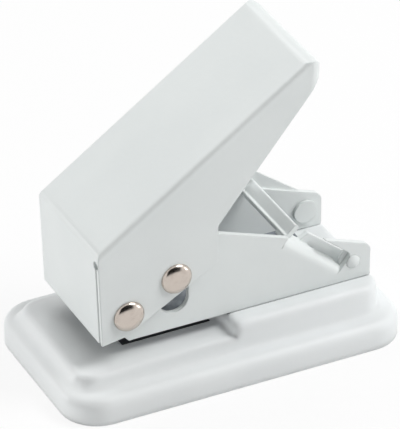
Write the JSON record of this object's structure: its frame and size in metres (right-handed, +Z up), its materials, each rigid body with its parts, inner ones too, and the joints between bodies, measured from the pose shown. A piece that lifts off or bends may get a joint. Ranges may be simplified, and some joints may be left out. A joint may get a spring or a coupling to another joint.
{
  "type": "single hole punch",
  "caption": "Desk punch for one paper hole: a wedge-shaped sheet steel lever on a folded frame presses a sprung punch pin through a die in a stepped moulded base.",
  "frame": {"origin": "under the middle of the base, on the surface it stands on", "axes": "+X from the front (paper side) to the rear, +Y from the side with the folded lip and its slot to the other side, +Z up"},
  "size_m": [0.1, 0.0556, 0.0895],
  "materials": {
    "base_plastic": "white moulded plastic with a soft gloss",
    "paint": "pale grey-white baked paint on sheet steel",
    "nickel": "nickel-plated rivets and screws",
    "bright_steel": "plain bright steel",
    "foot_rubber": "matt rubber",
    "nylon": "natural nylon"
  },
  "bodies": {
    "base": {"base_tray": "base_plastic", "chip_cover": "base_plastic", "rubber_feet": "foot_rubber", "die_plate": "bright_steel", "die_ring": "bright_steel", "die_screws": "bright_steel", "frame": "paint", "guide_bush": "bright_steel", "spring_seat": "bright_steel", "mount_screws": "nickel", "rear_rivets": "paint", "pivot_rivet": "nickel", "pivot_tube": "bright_steel", "pivot_washers": "nylon", "return_spring": "bright_steel"},
    "lever": {"lever_hood": "paint", "drive_rivet": "nickel", "drive_sleeve": "bright_steel"},
    "punch": {"punch_pin": "bright_steel", "spring_cap": "bright_steel", "punch_clip": "bright_steel"}
  },
  "joints": [
    {"name": "lever_swing", "type": "hinge", "parent": "base", "child": "lever", "pos_m": [-0.0304, 0, 0.0262], "axis": [0, 1, 0], "range_deg": [0, 26], "stiffness_Nm_per_rad": 0.09, "springref_deg": -28.65},
    {"name": "punch_slide", "type": "slide", "parent": "base", "child": "punch", "axis": [0, 0, 1], "range_m": [-0.00693, 0], "deforming": ["return_spring"]}
  ],
  "couplings": [
    {"joint": "punch_slide", "follows": "lever_swing", "m_per_rad": -0.01525}
  ]
}
